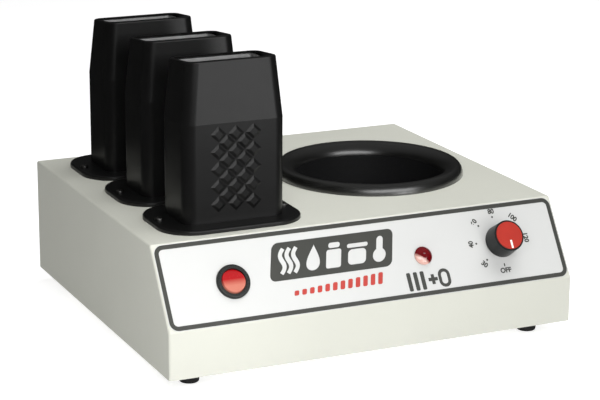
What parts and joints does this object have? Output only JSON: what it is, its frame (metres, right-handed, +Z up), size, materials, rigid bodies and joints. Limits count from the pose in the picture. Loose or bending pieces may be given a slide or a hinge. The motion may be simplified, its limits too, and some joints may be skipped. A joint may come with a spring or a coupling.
{
  "type": "wax warmer",
  "caption": "Box-shaped salon wax warmer with a sloping control panel, a round heated pot in a collar and upright heated pockets for roll-on wax cartridges.",
  "frame": {"origin": "on the standing surface, under the middle of the casing", "axes": "+X to the right as seen from the control panel, +Y to the back, +Z up"},
  "size_m": [0.3, 0.2756, 0.2048],
  "materials": {
    "casing_paint": "satin powder coat, pale warm grey",
    "base_steel": "satin powder coat on the underside",
    "zinc_screw": "zinc plated",
    "nickel_screw": "bright nickel plated",
    "foot_rubber": "matt moulded rubber",
    "label_print": "printed polycarbonate overlay, fine texture",
    "switch_black": "satin black moulded",
    "rocker_red": "translucent red, lit from behind",
    "terminal_brass": "tinned brass",
    "lens_red": "transparent red lens",
    "inner_black": "moulded phenolic",
    "spring_steel": "stainless strip",
    "shaft_steel": "turned and milled",
    "knob_black": "satin black moulded",
    "knob_red": "satin red moulded",
    "pointer_white": "white inlay",
    "housing_black": "satin black heat-resistant moulding",
    "sleeve_aluminium": "drawn, natural",
    "heater_ceramic": "unglazed heating plate",
    "mica": "pressed mica board",
    "collar_black": "satin black moulded",
    "pot_coating": "black non-stick coating on aluminium",
    "glass_wool": "glass fibre blanket",
    "bulb_copper": "drawn copper",
    "inlet_black": "moulded",
    "terminal_white": "moulded polyamide",
    "lead_sleeving": "braided glass fibre sleeving"
  },
  "bodies": {
    "casing": {"band_nut": "zinc_screw", "band_screw": "zinc_screw", "base_plate": "base_steel", "base_screws": "zinc_screw", "bulb_strap": "spring_steel", "capillary_tube": "bulb_copper", "cartridge_heater_front": "heater_ceramic", "cartridge_heater_middle": "heater_ceramic", "cartridge_heater_rear": "heater_ceramic", "cartridge_housing_front": "housing_black", "cartridge_housing_middle": "housing_black", "cartridge_housing_rear": "housing_black", "cartridge_leads": "lead_sleeving", "cartridge_sleeve_front": "sleeve_aluminium", "cartridge_sleeve_middle": "sleeve_aluminium", "cartridge_sleeve_rear": "sleeve_aluminium", "casing_shell": "casing_paint", "collar_clamp_ring": "spring_steel", "collar_screws": "zinc_screw", "control_label": "label_print", "cutout_strap": "spring_steel", "foot_front_left": "foot_rubber", "foot_front_right": "foot_rubber", "foot_nuts": "zinc_screw", "foot_rear_left": "foot_rubber", "foot_rear_right": "foot_rubber", "foot_screws": "zinc_screw", "heater_springs": "spring_steel", "heating_pot": "pot_coating", "housing_screws": "nickel_screw", "indicator_body": "inner_black", "indicator_clip": "spring_steel", "indicator_lens": "lens_red", "inlet_pins": "terminal_brass", "inlet_screws": "nickel_screw", "lamp_lead": "lead_sleeving", "mains_inlet": "inlet_black", "mains_lead": "lead_sleeving", "pot_band_heater": "spring_steel", "pot_collar": "collar_black", "pot_heater_lead": "lead_sleeving", "pot_insulation": "glass_wool", "rocker_housing": "switch_black", "rocker_terminals": "terminal_brass", "sleeve_base_plates": "mica", "strap_screws": "zinc_screw", "switch_lead": "lead_sleeving", "terminal_block": "terminal_white", "thermal_cutout": "inner_black", "thermostat_body": "inner_black", "thermostat_bulb": "bulb_copper", "thermostat_lead": "lead_sleeving", "thermostat_nut": "zinc_screw"},
    "rocker": {"rocker_button": "rocker_red"},
    "knob": {"thermostat_shaft": "shaft_steel", "knob_body": "knob_black", "knob_cap": "knob_red", "knob_pointer": "pointer_white"}
  },
  "joints": [
    {"name": "rocker_tilt", "type": "hinge", "parent": "casing", "child": "rocker", "pos_m": [-0.099, -0.119, 0.06573], "axis": [1, 0, 0], "range_deg": [0, 18]},
    {"name": "knob_turn", "type": "hinge", "parent": "casing", "child": "knob", "pos_m": [0.1022, -0.11764, 0.06854], "axis": [0, 0.8379, -0.5459], "range_deg": [0, 270]}
  ]
}
